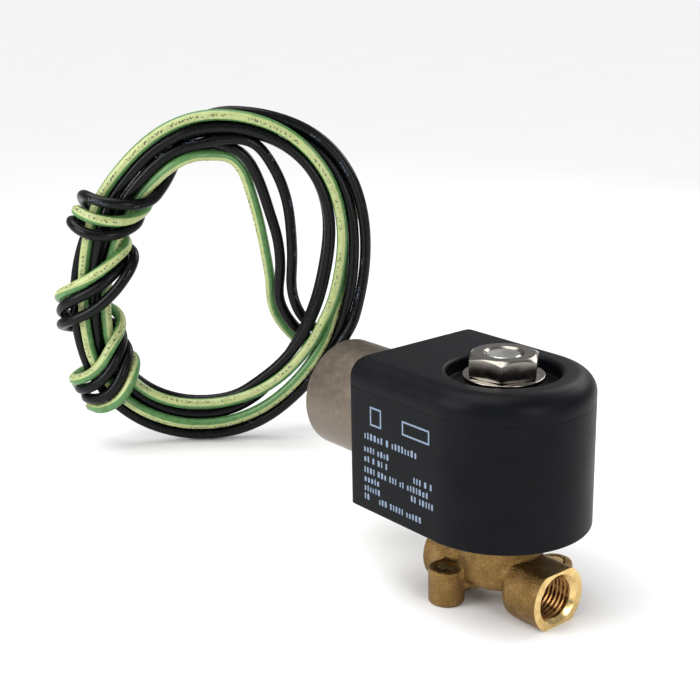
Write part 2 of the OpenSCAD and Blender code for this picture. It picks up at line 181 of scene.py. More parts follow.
def lathe(name, section, material, body, axis="Z", centre=(0, 0, 0), sides=160, pitch=1.0):
    """A ring turned round an axis from a closed section."""
    points = turned_points(section, sides, axis, centre, pitch)
    return add_piece(name, points, grid_faces(len(section), sides), material, body)


def solid_turned(rows, axis="Z", centre=(0, 0, 0), sides=96, pitch=1.0, turned=0.0):
    """A solid turned round an axis from rows that run from one end to the other."""
    points = turned_points(rows, sides, axis, centre, pitch, turned)
    faces = grid_faces(len(rows), sides, closed_rows=False)
    faces.append(tuple(range(sides)))
    faces.append(tuple((len(rows) - 1) * sides + k for k in range(sides)))
    return add_piece("tool", points, faces, None, None)


def thread_rows(radius, start, end, pitch, depth):
    """Rows of a tapped hole whose thread runs out at both ends."""
    count = int(abs(end - start) / pitch * 12)
    rows = []
    for i in range(count + 1):
        fade = min(1, i / 5, (count - i) / 8)
        rows.append((radius, start + (end - start) * i / count, depth * fade))
    return rows


def thread_wave(turn):
    """Depth of a screw thread, from 0 at its crest to 1 at its root, with small flats."""
    place = turn - floor(turn)
    slope = abs(2 * place - 1)
    return min(1, max(0, slope * 1.3 - 0.15))


# ---- shader helpers


RANGE_SOCKETS = ("From Min", "From Max", "To Min", "To Max")


class Shader:
    """A Principled material, with short ways to add the nodes that vary it."""

    def __init__(self, name, color, roughness, metallic=0.0, **sockets):
        self.material = bpy.data.materials.new(name)
        self.material.use_nodes = True
        self.tree = self.material.node_tree
        self.surface = self.tree.nodes["Principled BSDF"]
        self.surface.inputs["Base Color"].default_value = (*color, 1)
        self.surface.inputs["Roughness"].default_value = roughness
        self.surface.inputs["Metallic"].default_value = metallic
        for socket, value in sockets.items():
            self.surface.inputs[socket.replace("_", " ")].default_value = value

    def node(self, kind, **settings):
        made = self.tree.nodes.new("ShaderNode" + kind)
        for key, value in settings.items():
            setattr(made, key, value)
        return made

    def link(self, source, target):
        self.tree.links.new(source, target)

    def place(self, stretch=(1, 1, 1)):
        """Places on the piece, in millimetres."""
        where = self.node("TexCoord")
        scaled = self.node("Mapping")
        scaled.inputs["Scale"].default_value = tuple(s / MM for s in stretch)
        self.link(where.outputs["Object"], scaled.inputs["Vector"])
        return scaled.outputs["Vector"]

    def noise(self, size, detail=3, rough=0.5, stretch=(1, 1, 1)):
        """Noise whose patches are about that many millimetres across."""
        made = self.node("TexNoise")
        made.inputs["Scale"].default_value = 1 / size
        made.inputs["Detail"].default_value = detail
        made.inputs["Roughness"].default_value = rough
        self.link(self.place(stretch), made.inputs["Vector"])
        return made.outputs["Fac"]

    def cells(self, size):
        """Distance to the nearest of many scattered points, that many millimetres apart."""
        made = self.node("TexVoronoi")
        made.inputs["Scale"].default_value = 1 / size
        self.link(self.place(), made.inputs["Vector"])
        return made.outputs["Distance"]

    def ramp(self, value, *stops):
        """Colours or greys at given values, with smooth steps between them."""
        made = self.node("ValToRGB")
        ramp = made.color_ramp
        while len(ramp.elements) < len(stops):
            ramp.elements.new(0.5)
        for element, (place, color) in zip(ramp.elements, stops):
            element.position = place
            element.color = (color,) * 3 + (1,) if isinstance(color, float) else (*color, 1)
        self.link(value, made.inputs["Fac"])
        return made.outputs["Color"]

    def mix(self, amount, first, second):
        """One colour turned into another by an amount, which is a socket or a number."""
        made = self.node("Mix", data_type="RGBA")
        for place, value in ((0, amount), (6, first), (7, second)):
            if isinstance(value, bpy.types.NodeSocket):
                self.link(value, made.inputs[place])
            else:
                made.inputs[place].default_value = (*value, 1) if isinstance(value, tuple) else value
        return made.outputs[2]

    def math(self, operation, *values):
        made = self.node("Math", operation=operation)
        for socket, value in zip(made.inputs, values):
            if isinstance(value, bpy.types.NodeSocket):
                self.link(value, socket)
            else:
                socket.default_value = value
        return made.outputs[0]

    def spread(self, value, low, high, to_low, to_high):
        """A value taken from one range to another, smoothly."""
        made = self.node("MapRange", interpolation_type="SMOOTHSTEP")
        self.link(value, made.inputs["Value"])
        for socket, number in zip(RANGE_SOCKETS, (low, high, to_low, to_high)):
            made.inputs[socket].default_value = number
        return made.outputs["Result"]

    def color(self, value):
        self.link(value, self.surface.inputs["Base Color"])

    def roughness(self, value):
        self.link(value, self.surface.inputs["Roughness"])

    def tones(self, value, *stops):
        """Base colours at given values."""
        self.color(self.ramp(value, *stops))

    def middling(self, value, low, high):
        """From low to high over the middle of a noise's range."""
        return self.spread(value, 0.3, 0.7, low, high)

    def shine(self, value, low, high):
        """Roughness from low to high over the middle of a noise's range."""
        self.roughness(self.middling(value, low, high))

    def bump(self, height, depth, strength=1.0):
        """A relief of that many millimetres; more than one adds up."""
        made = self.node("Bump")
        made.inputs["Strength"].default_value = strength
        made.inputs["Distance"].default_value = depth * MM
        self.link(height, made.inputs["Height"])
        normal = self.surface.inputs["Normal"]
        if normal.is_linked:
            self.link(normal.links[0].from_socket, made.inputs["Normal"])
        self.link(made.outputs["Normal"], normal)


# ---- materials


def forged_brass():
    """Sand-blasted brass forging: fine sparkling grain, browner in patches."""
    s = Shader("forged_brass", (0.30, 0.185, 0.065), 0.42, 1.0)
    grain = s.noise(0.5, 4, 0.75)
    patches = s.noise(4, 3)
    base = s.ramp(
        patches, (0.3, (0.25, 0.145, 0.045)), (0.55, (0.34, 0.21, 0.075)), (0.75, (0.43, 0.28, 0.11)),
    )
    lit = s.ramp(grain, (0.38, 0.0), (0.62, 1.0))
    s.color(s.mix(lit, s.mix(0.6, base, (0.10, 0.05, 0.014)), base))
    s.shine(grain, 0.32, 0.54)
    s.bump(s.cells(0.6), 0.16, 0.9)
    s.bump(grain, 0.2, 1.0)
    s.bump(patches, 0.4, 0.35)
    return s.material


def machined_brass():
    """Brass cut on a lathe: bright, with fine rings left by the tool."""
    s = Shader("machined_brass", (0.80, 0.58, 0.24), 0.22, 1.0)
    marks = s.noise(0.7, 2)
    stain = s.noise(2.4, 3)
    s.tones(stain, (0.3, (0.66, 0.44, 0.16)), (0.6, (0.82, 0.60, 0.26)), (0.8, (0.88, 0.69, 0.36)))
    s.shine(marks, 0.18, 0.28)
    s.bump(marks, 0.01, 0.4)
    return s.material


def thread_brass_painted_shade():
    """Brass in the threads: painted shade, redder and darker than the faces, since little light gets in."""
    s = Shader("thread_brass_painted_shade", (0.36, 0.19, 0.07), 0.26, 1.0)
    stain = s.noise(1.6, 3)
    s.tones(stain, (0.3, (0.22, 0.11, 0.035)), (0.6, (0.38, 0.20, 0.075)), (0.8, (0.50, 0.30, 0.12)))
    s.shine(stain, 0.2, 0.36)
    s.bump(s.noise(0.4, 3), 0.02, 0.5)
    return s.material


def case_plastic():
    """Black moulded plastic with a fine satin grain."""
    s = Shader("case_plastic", (0.004, 0.0045, 0.006), 0.4, 0.0, Specular_IOR_Level=0.08)
    grain = s.noise(0.22, 2)
    cloud = s.noise(9, 4)
    s.tones(cloud, (0.3, (0.0032, 0.0036, 0.0046)), (0.7, (0.0055, 0.006, 0.008)))
    s.roughness(s.mix(0.5, s.middling(cloud, 0.34, 0.46), s.middling(grain, 0.34, 0.50)))
    s.bump(grain, 0.02, 0.55)
    s.bump(cloud, 0.15, 0.25)
    return s.material


def print_ink():
    """Pale ink of the marks on the case, thin and slightly uneven."""
    s = Shader("print_ink", (0.20, 0.27, 0.38), 0.6)
    worn = s.noise(0.5, 3)
    s.tones(worn, (0.25, (0.12, 0.17, 0.25)), (0.6, (0.22, 0.29, 0.40)))
    s.roughness(s.spread(worn, 0.2, 0.8, 0.45, 0.65))
    return s.material


def nickel_plate():
    """Plated steel of the nut and the washers, with faint smears and pits."""
    s = Shader("nickel_plate", (0.27, 0.25, 0.225), 0.2, 1.0)
    smear = s.noise(2.2, 4, 0.6)
    pits = s.noise(0.3, 3)
    s.tones(smear, (0.3, (0.22, 0.20, 0.175)), (0.6, (0.28, 0.26, 0.23)), (0.8, (0.34, 0.32, 0.285)))
    s.roughness(s.mix(0.4, s.middling(smear, 0.14, 0.26), s.middling(pits, 0.12, 0.26)))
    s.bump(pits, 0.008, 0.3)
    s.bump(smear, 0.02, 0.2)
    return s.material


def satin_nickel():
    """Dull plating of the conduit hub, warm grey and slightly blotched."""
    s = Shader("satin_nickel", (0.19, 0.157, 0.125), 0.42, 1.0)
    blotch = s.noise(2, 5, 0.6)
    fine = s.noise(0.35, 3)
    s.tones(
        blotch, (0.3, (0.165, 0.133, 0.106)), (0.55, (0.192, 0.158, 0.126)),
        (0.75, (0.215, 0.18, 0.146)),
    )
    s.roughness(s.mix(0.5, s.middling(blotch, 0.36, 0.50), s.middling(fine, 0.34, 0.54)))
    s.bump(fine, 0.03, 0.5)
    s.bump(blotch, 0.08, 0.25)
    return s.material


def stainless():
    """Turned stainless steel, with fine rings round its axis."""
    s = Shader("stainless", (0.62, 0.61, 0.59), 0.24, 1.0)
    rings = s.noise(0.35, 2, 0.5, (0.05, 0.05, 1))
    s.tones(rings, (0.3, (0.50, 0.49, 0.47)), (0.7, (0.70, 0.69, 0.67)))
    s.shine(rings, 0.18, 0.34)
    s.bump(rings, 0.02, 0.5)
    return s.material


def plain_metal(name, dark, light, roughness, size):
    """A metal with soft patches of two tones and a fine grain."""
    s = Shader(name, light, roughness, 1.0)
    patch = s.noise(size, 4)
    s.tones(patch, (0.3, dark), (0.7, light))
    s.shine(patch, roughness - 0.08, roughness + 0.1)
    s.bump(s.noise(size * 0.12, 3), 0.03, 0.5)
    return s.material


def plain_polymer(name, dark, light, roughness, size, grain=0.03):
    """A plastic or rubber with soft patches of two tones and a fine grain."""
    s = Shader(name, light, roughness)
    patch = s.noise(size, 4)
    s.tones(patch, (0.3, dark), (0.7, light))
    s.shine(patch, roughness - 0.08, roughness + 0.08)
    s.bump(s.noise(size * 0.1, 3), grain, 0.6)
    return s.material


def lead_marks(s, across_low, across_high, cell, start):
    """The place across a lead, and broken specks in a band along it that say nothing."""
    where = s.node("TexCoord")
    parts = s.node("SeparateXYZ")
    s.link(where.outputs["UV"], parts.inputs[0])
    along, across = parts.outputs[0], parts.outputs[1]
    word = s.node("TexNoise", noise_dimensions="1D")
    word.inputs["Scale"].default_value = 1 / (9 * MM)
    s.link(along, word.inputs["W"])
    there = s.spread(word.outputs["Fac"], start, start + 0.04, 0, 1)
    flat = s.node("CombineXYZ")
    s.link(along, flat.inputs[0])
    s.link(s.math("MULTIPLY", across, LEAD_ROUND * MM), flat.inputs[1])
    fleck = s.node("TexNoise", noise_dimensions="2D")
    fleck.inputs["Scale"].default_value = 1 / (cell * MM)
    fleck.inputs["Detail"].default_value = 1
    s.link(flat.outputs[0], fleck.inputs["Vector"])
    specks = s.spread(fleck.outputs["Fac"], 0.56, 0.60, 0, 1)
    band = s.math("MULTIPLY", s.spread(across, across_low, across_low + 0.01, 0, 1),
                  s.spread(across, across_high - 0.01, across_high, 1, 0))
    return across, s.math("MULTIPLY", s.math("MULTIPLY", there, specks), band)


def black_insulation():
    """Glossy black lead insulation with faint broken print."""
    s = Shader("black_insulation", (0.0025, 0.0027, 0.003), 0.26, 0.0, Specular_IOR_Level=0.18)
    marks = lead_marks(s, 0.46, 0.54, 0.5, 0.56)[1]
    dust = s.noise(1.6, 4)
    skin = s.ramp(dust, (0.3, (0.0018, 0.002, 0.0023)), (0.7, (0.0036, 0.0039, 0.0044)))
    s.color(s.mix(s.math("MULTIPLY", marks, 0.6), skin, (0.16, 0.22, 0.30)))
    s.shine(dust, 0.22, 0.36)
    s.bump(s.noise(0.8, 3), 0.03, 0.5)
    return s.material


def green_insulation():
    """Green lead insulation with a broad pale yellow stripe and faint broken print on it."""
    s = Shader("green_insulation", (0.09, 0.26, 0.06), 0.3)
    across, marks = lead_marks(s, 0.43, 0.54, 0.8, 0.42)
    dust = s.noise(2.2, 4)
    green = s.ramp(dust, (0.3, (0.070, 0.185, 0.052)), (0.7, (0.098, 0.245, 0.075)))
    yellow = s.ramp(dust, (0.3, (0.37, 0.43, 0.17)), (0.7, (0.46, 0.52, 0.22)))
    left = s.spread(across, 0.375, 0.39, 0, 1)
    right = s.spread(across, 0.61, 0.625, 1, 0)
    stripe = s.math("MULTIPLY", left, right)
    painted = s.mix(stripe, green, yellow)
    s.color(s.mix(s.math("MULTIPLY", marks, 0.9), painted, (0.05, 0.06, 0.04)))
    s.shine(dust, 0.24, 0.38)
    s.bump(s.noise(0.8, 3), 0.03, 0.5)
    return s.material


# ---- leads

LEAD_D = 3.9
LEAD_ROUND = pi * LEAD_D
LEAD_STEP = 1.7
LEAD_SIDES = 18
LEAD_GAP = 4.0
CURVE_POINTS = 6
SETTLE_ROUNDS = 300
CLEAR_ROUNDS = 25
PUSH = 0.35
HOME_PULL = 0.02
HELD_FROM_X = -58
NEAR_MM = 6
TUFT_STRANDS = 7
TUFT_ROWS = 9
TUFT_SIDES = 8
BLACK_TWIST_1 = 160
BLACK_TWIST_2 = 190
BLACK_START_2 = 2
END_STEPS = {"black_lead_1": 7, "black_lead_2": 7, "green_lead": 2}
GREEN_LEAN = 0.3
GREEN_TWIST = 260
WRAP_LEAN = 0.5
WRAP_LEAN_END = 1.5
WRAP_BLEND = 14

# Routes from the hub's seal to the coil, the same points as in the CAD source
ROUTES = {
    "black_lead_1": [
        (-46, 0, 46.5), (-55, 0, 46.5), (-66, 0, 46), (-77, 4, 45), (-88, 15, 42), (-99, 29, 38),
        (-109, 41, 35), (-118, 51.5, 33.5), (-128, 53.5, 33.5), (-137.6, 49.4, 36), (-144.2, 42.6, 43),
        (-145.6, 38.9, 54), (-144, 38.5, 66), (-143, 37.5, 77), (-142.5, 36, 87), (-143, 33, 96.5),
        (-144.5, 28.5, 105), (-147.5, 23, 111.5),
    ],
    "black_lead_2": [
        (-46, -2.5, 42.5), (-55, -2.5, 42.5), (-66, -2, 42), (-77, 2, 40.5), (-88, 14, 37.5),
        (-99, 29, 33.5), (-109, 41, 30.5), (-118, 52, 29), (-128.5, 54.5, 29), (-139.8, 49.2, 31.5),
        (-147.7, 41.6, 39), (-150.6, 36.6, 50), (-148.3, 36.2, 62), (-147, 34.5, 73.5), (-147, 31.5, 83),
        (-147.5, 28.5, 93), (-148.5, 25, 101.5), (-151, 20, 107.5),
    ],
    "green_lead": [
        (-46, 2.5, 42.5), (-55, 2.5, 42.5), (-66, 2.5, 39.5), (-77, 4, 36), (-88, 14, 33), (-99, 29, 29),
        (-109, 41.5, 26), (-118, 52.5, 24.5), (-129, 55, 24.5), (-141, 51, 27), (-150.6, 43.4, 34),
        (-155.6, 37.6, 45), (-153.6, 35.1, 58), (-151.6, 31.6, 71), (-151, 28.6, 83),
        (-151.9, 25.8, 94.1), (-152.7, 23.9, 100.2), (-154.4, 19.4, 104.8), (-157.4, 13, 107),
    ],
}

# The coil is an oval in an upright plane. A strand's place in it is its inset from the oval
# and its depth toward the viewer, at each eighth of a turn from the top, round by the left.
COIL_CENTRE = Vector((-155, 12, 60.5))
COIL_ALONG = Vector((0.63, 0.777, 0))
COIL_UP = Vector((0, 0, 1))
COIL_TOWARD = Vector((0.777, -0.63, 0))
COIL_HALF_W = 55.5
COIL_HALF_H = 60.5
COIL_START = {"black_lead_1": 0.06, "black_lead_2": 0.1, "green_lead": 0.16}
STRANDS = {
    "black_lead_1": [
        (11.5, 0.5), (15.5, 0.5), (14, -1.5), (9.5, -3), (15, -2.5), (20, 0.5), (16.5, 1), (5, 1),
        (6, 1), (11.5, 1), (12.5, 2), (3.5, -1.5), (6, -2.5), (8.5, -3), (6.5, 0.5), (-1, -0.5),
        (5.5, -5),
    ],
    "black_lead_2": [
        (13, -3), (16, -3.5), (10, -2.5), (6, -0.5), (10.5, 0), (19.5, -3.5), (17.5, -3), (5.5, -3),
        (7, -3), (9.5, -2.5), (5.5, -0.5), (-1.5, 0), (2.5, 0), (8, 0.5), (2.5, 0), (-5, 0), (2, -2.5),
    ],
    "green_lead": [
        (13.5, 1), (18.5, -0.5), (16.5, 0.5), (9.5, 1.5), (15, 2), (16.5, 2), (11.5, 1.5), (1, 2),
        (1.5, 2), (8, 2), (9, 2.5), (3, 3), (7.5, 2), (12, 2), (9, -3), (-4, -4.5), (5, -7.5),
    ],
}

# The tails wrap three to four times round the coil's left side. Each row is the angle round the coil,
# the angle round its strands (0 inside, 90 toward the viewer, 180 outside), and any slack.
WRAPS = {
    "black_lead_1": [
        (97, -130), (103, -100), (110, -62), (119, -28), (130, 8), (139, 72), (144, 110), (147, 180),
        (153, 240, 3.5), (161, 290, 3.5), (167, 340, 1.5), (171, 385), (180, 430), (184, 470),
        (190, 540), (197, 630), (206, 700), (211, 750), (216, 795), (217, 830), (215, 885), (217, 930),
        (219, 960),
    ],
    "green_lead": [
        (106, -115), (115, -88), (124, -55), (133, -20), (142, 20), (149, 75), (152, 125), (153, 180),
        (157, 270), (159, 340), (161, 380), (173, 430), (179, 465), (185, 540), (191, 630), (198, 690),
        (204, 725), (211, 770), (213, 815), (212, 875), (212, 930), (214, 990), (218, 1050), (220, 1095),
        (226, 1140), (227, 1170), (225, 1210), (221, 1260),
    ],
    "black_lead_2": [
        (112, -115), (121, -90), (130, -60), (139, -28), (148, 10), (156, 70), (158, 115), (157, 180),
        (161, 270), (162, 330, 1.5), (165, 365, 3), (172, 385, 3), (181, 400, 2), (189, 435), (192, 480),
        (194, 540), (201, 630), (209, 690), (215, 740), (222, 790), (222, 835), (218, 885), (220, 930),
        (223, 960),
    ],
}
WRAP_DEPTH = 8.2
BUNDLE_ANGLES = (130, 150, 165, 180, 190, 200, 210, 225)
BUNDLE_INSETS = (12.2, 12, 11.5, 11, 10.5, 7, 4.3, 3.5)


def coil_place(degrees, inset, depth):
    """A point of the coil, from its angle, its inset from the oval and its depth."""
    angle = radians(degrees)
    return (
        COIL_CENTRE
        + COIL_ALONG * ((COIL_HALF_W - inset) * cos(angle))
        + COIL_UP * ((COIL_HALF_H - inset) * sin(angle))
        + COIL_TOWARD * depth
    )


def between(rows, place):
    """A smooth curve through rows of numbers, at a place counted in rows."""
    last = len(rows) - 1
    i = min(int(place), last - 1)
    t = place - i
    a, b, c, d = (np.array(rows[min(max(k, 0), last)], float) for k in range(i - 1, i + 3))
    curve = 2 * b + (c - a) * t + (2 * a - 5 * b + 4 * c - d) * t * t
    return 0.5 * (curve + (3 * b - a - 3 * c + d) * t ** 3)


def coil_points(name):
    """Two turns of a strand round the coil."""
    points = []
    turn = COIL_START[name]
    while turn <= 8 + 1e-6:
        inset, depth = between(STRANDS[name], turn * 2)
        points.append(coil_place(90 + 90 * turn, inset, depth))
        turn += 1 / 8
    return points


def wrap_points(name):
    """The tail of a strand, wrapped round the coil's left side."""
    rows = [(*row, 0)[:3] for row in WRAPS[name]]
    points = []
    for i in range(len(rows) - 1):
        count = max(1, round(abs(rows[i + 1][1] - rows[i][1]) / 30))
        for k in range(count):
            points.append(wrap_point(*between(rows, i + k / count)))
    return points + [wrap_point(*rows[-1])]


def bundle_middle(degrees):
    """Inset of the middle of the tied strands at an angle round the coil."""
    return np.interp(degrees, BUNDLE_ANGLES, BUNDLE_INSETS)


def wrap_point(degrees, phase, slack):
    middle = bundle_middle(degrees)
    reach = np.interp(degrees, [155, 165], [10.2, 12]) + slack
    inset = middle + reach * cos(radians(phase))
    return coil_place(degrees, inset, (WRAP_DEPTH + slack) * sin(radians(phase)))


def distances(points):
    """How far along a line each of its points is."""
    return np.concatenate([[0], np.cumsum(np.linalg.norm(np.diff(points, axis=0), axis=1))])


def evenly(points, step):
    """The same line with its points a step apart."""
    points = np.array(points, float)
    along = distances(points)
    places = np.linspace(0, along[-1], max(2, round(along[-1] / step)) + 1)
    return np.stack([np.interp(places, along, points[:, i]) for i in range(3)], 1)


def lead_line(name):
    """The whole centreline of a lead, before the strands are pushed clear of each other."""
    rows = ROUTES[name] + [tuple(p) for p in coil_points(name) + wrap_points(name)]
    dense = [between(rows, i / CURVE_POINTS) for i in range(CURVE_POINTS * (len(rows) - 1) + 1)]
    return evenly(dense, LEAD_STEP)


def settle(lines):
    """Pushes strands that run into each other a diameter apart, and evens out their bends."""
    sizes = [len(line) for line in lines]
    starts = np.cumsum([0] + sizes)
    owner = np.repeat(np.arange(len(lines)), sizes)
    home = np.concatenate(lines)
    now = home.copy()
    inner = np.ones(len(now), bool)
    inner[starts[:-1]] = False
    inner[starts[1:] - 1] = False
    middle = np.nonzero(inner)[0]
    free = np.where(home[:, 0] > HELD_FROM_X, 0.0, 1.0)[:, None]

    def push_apart(pairs, most):
        i, j = pairs
        apart = now[i] - now[j]
        distance = np.linalg.norm(apart, axis=1)
        short = np.clip(LEAD_GAP - distance, 0, None)
        step = apart / np.maximum(distance, 1e-6)[:, None] * (short * PUSH)[:, None]
        move = np.zeros_like(now)
        np.add.at(move, i, step)
        np.add.at(move, j, -step)
        now[:] = now + np.clip(move, -most, most) * free

    def even_out(amount):
        bend = np.zeros_like(now)
        bend[middle] = (now[middle - 1] + now[middle + 1]) / 2 - now[middle]
        now[:] = now + bend * amount * free

    for turn in range(SETTLE_ROUNDS):
        if turn % 10 == 0:
            pairs = close_pairs(now, owner)
        push_apart(pairs, 0.6)
        even_out(0.3)
        even_out(-0.306 if turn % 2 else -0.294)
        now[:] = now + HOME_PULL * (home - now) * free
    for turn in range(CLEAR_ROUNDS):
        push_apart(pairs, 0.4)
        even_out(0.12)
    ends = zip(starts[:-1], starts[1:], END_STEPS.values())
    return [straight_end(now[a:b], steps) for a, b, steps in ends]


def straight_end(line, steps):
    """The line with its last few steps straight, as the stripped end of a lead is."""
    last = line[-steps - 1]
    step = last - line[-steps - 2]
    ahead = np.arange(1, steps + 1)[:, None]
    return np.concatenate([line[:-steps], last + step * ahead])


def close_pairs(points, owner):
    """Pairs of points that are near each other and not next to each other on one strand."""
    small = points.astype(np.float32)
    found = []
    for start in range(0, len(small), 256):
        distance = np.linalg.norm(small[start:start + 256, None] - small[None], axis=2)
        i, j = np.nonzero(distance < NEAR_MM)
        found.append(np.stack([i + start, j]))
    i, j = np.concatenate(found, axis=1)
    keep = (i < j) & ((owner[i] != owner[j]) | (j - i > 8))
    return i[keep], j[keep]


def carried_frames(line):
    """A direction across the line at each point, carried along it without twist."""
    steps = np.diff(line, axis=0)
    ahead = np.concatenate([steps[:1], steps[1:] + steps[:-1], steps[-1:]])
    ahead /= np.linalg.norm(ahead, axis=1)[:, None]
    across = np.array((0.0, 1.0, 0.0))
    frames = []
    for direction in ahead:
        across = across - direction * np.dot(across, direction)
        across /= np.linalg.norm(across)
        frames.append((across.copy(), np.cross(direction, across)))
    return frames


def make_lead(name, line, material, twist):
    """A round lead along its centreline, with the distance along it and round it as its UV."""
    frames = carried_frames(line)
    along = distances(line)
    radius = LEAD_D / 2
    rings = [(i, radius) for i in range(len(line))]
    rings = [(0, radius * 0.01)] + rings + [(len(line) - 1, radius * 0.45)]
    points = []
    for i, r in rings:
        side, over = frames[i]
        for k in range(LEAD_SIDES):
            angle = 2 * pi * k / LEAD_SIDES + twist(along[i])
            points.append(line[i] + side * (r * cos(angle)) + over * (r * sin(angle)))
    faces = grid_faces(len(rings), LEAD_SIDES, closed_rows=False)
    faces.append(tuple(range(LEAD_SIDES)))
    last = (len(rings) - 1) * LEAD_SIDES
    faces.append(tuple(last + k for k in range(LEAD_SIDES)))
    piece = add_piece(name + "_wire", points, faces, material, "solenoid", 50)
    give_lead_uv(piece, rings, along)
    return piece


def give_lead_uv(piece, rings, along):
    layer = piece.data.uv_layers.new(name="UVMap")
    for face in piece.data.polygons:
        columns = [piece.data.loops[i].vertex_index % LEAD_SIDES for i in face.loop_indices]
        wraps = max(columns) - min(columns) > LEAD_SIDES / 2
        for i, column in zip(face.loop_indices, columns):
            row = piece.data.loops[i].vertex_index // LEAD_SIDES
            turn = column + LEAD_SIDES if wraps and column < LEAD_SIDES / 2 else column
            layer.data[i].uv = (along[rings[row][0]] * MM, turn / LEAD_SIDES)


def facing_twist(line, lean, twist):
    """Turns a lead so that the middle of its UV faces the viewer at the top of the coil."""
    top = len(line) // 2
    side, over = carried_frames(line)[top]
    toward = np.arctan2(np.dot(over, COIL_TOWARD), np.dot(side, COIL_TOWARD))
    middle = LEAD_STEP * top
    return lambda along: toward - pi + lean + (along - middle) / twist


def outward_twist(line, first, coil_twist):
    """The coil's twist, which from the first wrapped point on keeps the stripe outside the wraps."""
    frames = carried_frames(line)
    places = LEAD_STEP * np.arange(len(line))
    angles = np.array([coil_twist(place) for place in places])
    outward = []
    for point, (side, over) in zip(line[first:], frames[first:]):
        arm = Vector(point) - COIL_CENTRE
        degrees = np.degrees(np.arctan2(arm.z / COIL_HALF_H, arm.dot(COIL_ALONG) / COIL_HALF_W)) % 360
        away = Vector(point) - coil_place(degrees, bundle_middle(degrees), 0)
        outward.append(np.arctan2(np.dot(over, away), np.dot(side, away)) - pi)
    outward = np.unwrap(outward) + np.linspace(WRAP_LEAN, WRAP_LEAN_END, len(outward))
    outward += 2 * pi * np.round((angles[first] - outward[0]) / (2 * pi))
    share = np.clip(np.arange(len(outward)) / WRAP_BLEND, 0, 1)
    angles[first:] = angles[first:] * (1 - share) + outward * share
    soft = np.convolve(np.pad(angles, 4, mode="edge"), np.ones(9) / 9, "valid")
    return lambda along: np.interp(along, places, soft)


def make_lead_end(name, line, material):
    """A tuft of fine bare strands that stands out of the end of a lead."""
    direction = line[-1] - line[-4]
    direction /= np.linalg.norm(direction)
    side, over = carried_frames(line)[-1]
    points = []
    faces = []
    around = TUFT_STRANDS - 1
    for strand in range(TUFT_STRANDS):
        angle = 2 * pi * strand / around
        start = np.zeros(3) if strand == around else 0.55 * (side * cos(angle) + over * sin(angle))
        lean = start * 0.5 + 0.3 * random.uniform(-1, 1) * side
        reach = random.uniform(3.0, 3.9)
        for row in range(TUFT_ROWS):
            t = row / (TUFT_ROWS - 1)
            centre = line[-1] + direction * (reach * t - 1.2) + start + lean * t * t
            r = 0.30 if row < TUFT_ROWS - 1 else 0.16
            for k in range(TUFT_SIDES):
                turn = 2 * pi * k / TUFT_SIDES
                points.append(centre + r * (side * cos(turn) + over * sin(turn)))
        first = strand * TUFT_ROWS * TUFT_SIDES
        last = first + (TUFT_ROWS - 1) * TUFT_SIDES
        walls = grid_faces(TUFT_ROWS, TUFT_SIDES, closed_rows=False)
        faces += [tuple(first + v for v in face) for face in walls]
        faces.append(tuple(range(first, first + TUFT_SIDES)))
        faces.append(tuple(range(last, last + TUFT_SIDES)))
    return add_piece(name + "_strands", points, faces, material, "solenoid", 40)


def make_leads():
    names = list(ROUTES)
    lines = dict(zip(names, settle([lead_line(name) for name in names])))
    black = black_insulation()
    green = green_insulation()
    copper = plain_metal("stripped_copper", (0.40, 0.17, 0.07), (0.78, 0.40, 0.22), 0.3, 1.5)
    green_line = lines["green_lead"]
    tail = distances(np.array(wrap_points("green_lead")))[-1]
    wrapped = len(green_line) - round(tail / LEAD_STEP)
    coil_twist = facing_twist(green_line, GREEN_LEAN, GREEN_TWIST)
    twists = {
        "black_lead_1": lambda along: along / BLACK_TWIST_1,
        "black_lead_2": lambda along: BLACK_START_2 + along / BLACK_TWIST_2,
        "green_lead": outward_twist(green_line, wrapped, coil_twist),
    }
    for name, line in lines.items():
        piece = make_lead(name, line, green if name == "green_lead" else black, twists[name])
        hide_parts(name)
        end = make_lead_end(name, line, copper)
        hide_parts("lead_ends")
        if name == "black_lead_1":
            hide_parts("lead_coil")


make_camera()
make_leads()


# ---- valve body

PORT_FACE_X = 21.4
PORT_BOSS_R = 9.1
PORT_BOSS_BACK_X = 8.6
PORT_AXIS_Z = 7.7
PORT_TOP_Z = 2 * PORT_AXIS_Z
PORT_BORE_R = 5.8
PORT_BORE_DEPTH = 11.4
PORT_MOUTH_R = 7.0
PORT_CHAMFER = 1.2
PORT_PITCH = 1.35
BARREL_R = 11.2
BARREL_BOTTOM_Z = 6.6
BARREL_TOP_Z = 21.6
RIB_R = 4
RIB_END_X = PORT_BOSS_BACK_X + 0.5
WEB_W = 6
WEB_BOTTOM_Z = 4.4
WEB_TOP_Z = 8.6
LUG_X = 8.5
LUG_Y = 12.36
LUG_R = 4.85
LUG_H = 10
LUG_HOLE_R = 2.1
LUG_PITCH = 0.8
GROWTH = 0.25
WELL_R = 7.3
WELL_Z = 12
SOCKET_R = 8.6
SOCKET_Z = 15.9


def solid_box(low, high, turn=0.0):
    """A tool block between two corners, turned round the upright axis."""
    points = []
    for x in (low[0], high[0]):
        for y in (low[1], high[1]):
            for z in (low[2], high[2]):
                points.append((x * cos(turn) - y * sin(turn), x * sin(turn) + y * cos(turn), z))
    faces = [(0, 1, 3, 2), (4, 5, 7, 6), (0, 1, 5, 4), (2, 3, 7, 6), (0, 2, 6, 4), (1, 3, 7, 5)]
    return add_piece("tool", points, faces, None, None)


def forge(piece, voxel, rounds):
    """Melts the joined solids into one skin with soft fillets, as a forging has."""
    step = piece.modifiers.new("skin", "REMESH")
    step.mode = "VOXEL"
    step.voxel_size = voxel * MM
    soft = piece.modifiers.new("fillets", "SMOOTH")
    soft.factor = 0.5
    soft.iterations = rounds
    apply_modifiers(piece)


